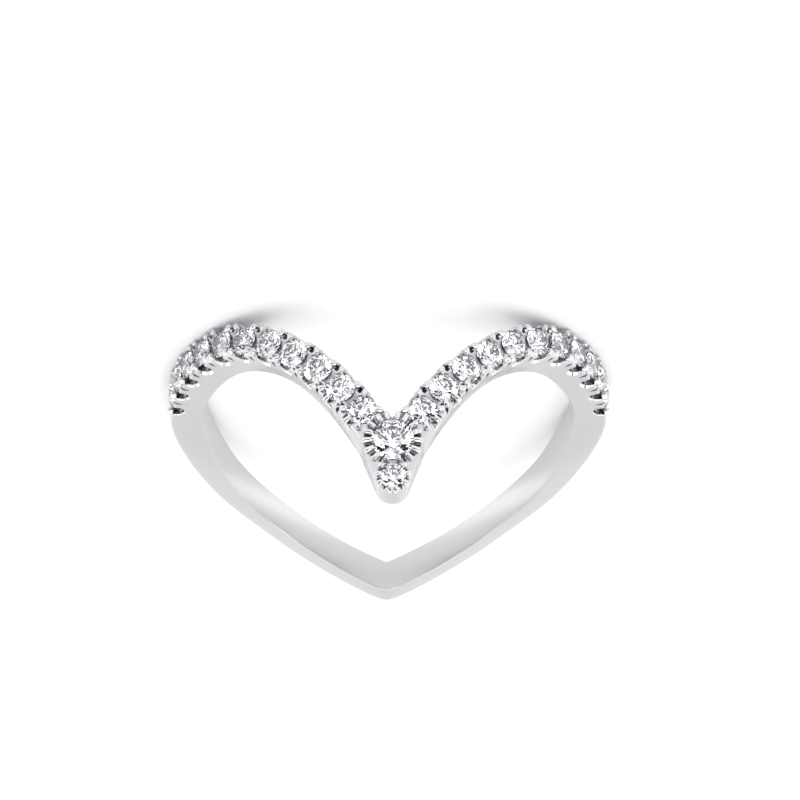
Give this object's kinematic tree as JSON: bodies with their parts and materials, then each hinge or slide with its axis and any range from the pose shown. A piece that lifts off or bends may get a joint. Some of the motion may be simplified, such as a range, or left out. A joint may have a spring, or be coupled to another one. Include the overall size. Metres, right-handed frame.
{
  "type": "chevron ring",
  "caption": "Chevron finger ring: plain metal band in a V at the back and a V of claw-set round stones at the front, lying on its side.",
  "frame": {"origin": "on the surface that the ring lies on, under the middle of its outline", "axes": "+Z along the finger axis, both points of the chevron up; the stones' point faces -Y and the plain back point +Y"},
  "size_m": [0.0206, 0.0206, 0.0101],
  "materials": {
    "white_gold": "polished white gold, rhodium bright",
    "diamond": "clear, colourless, brilliant cut"
  },
  "bodies": {
    "root": {"band": "white_gold", "stone_big": "diamond", "stone_tip": "diamond", "stone_left_1": "diamond", "stone_left_2": "diamond", "stone_left_3": "diamond", "stone_left_4": "diamond", "stone_left_5": "diamond", "stone_left_6": "diamond", "stone_left_7": "diamond", "stone_left_8": "diamond", "stone_left_9": "diamond", "stone_left_10": "diamond", "stone_left_11": "diamond", "stone_right_1": "diamond", "stone_right_2": "diamond", "stone_right_3": "diamond", "stone_right_4": "diamond", "stone_right_5": "diamond", "stone_right_6": "diamond", "stone_right_7": "diamond", "stone_right_8": "diamond", "stone_right_9": "diamond", "stone_right_10": "diamond", "stone_right_11": "diamond"}
  },
  "joints": []
}
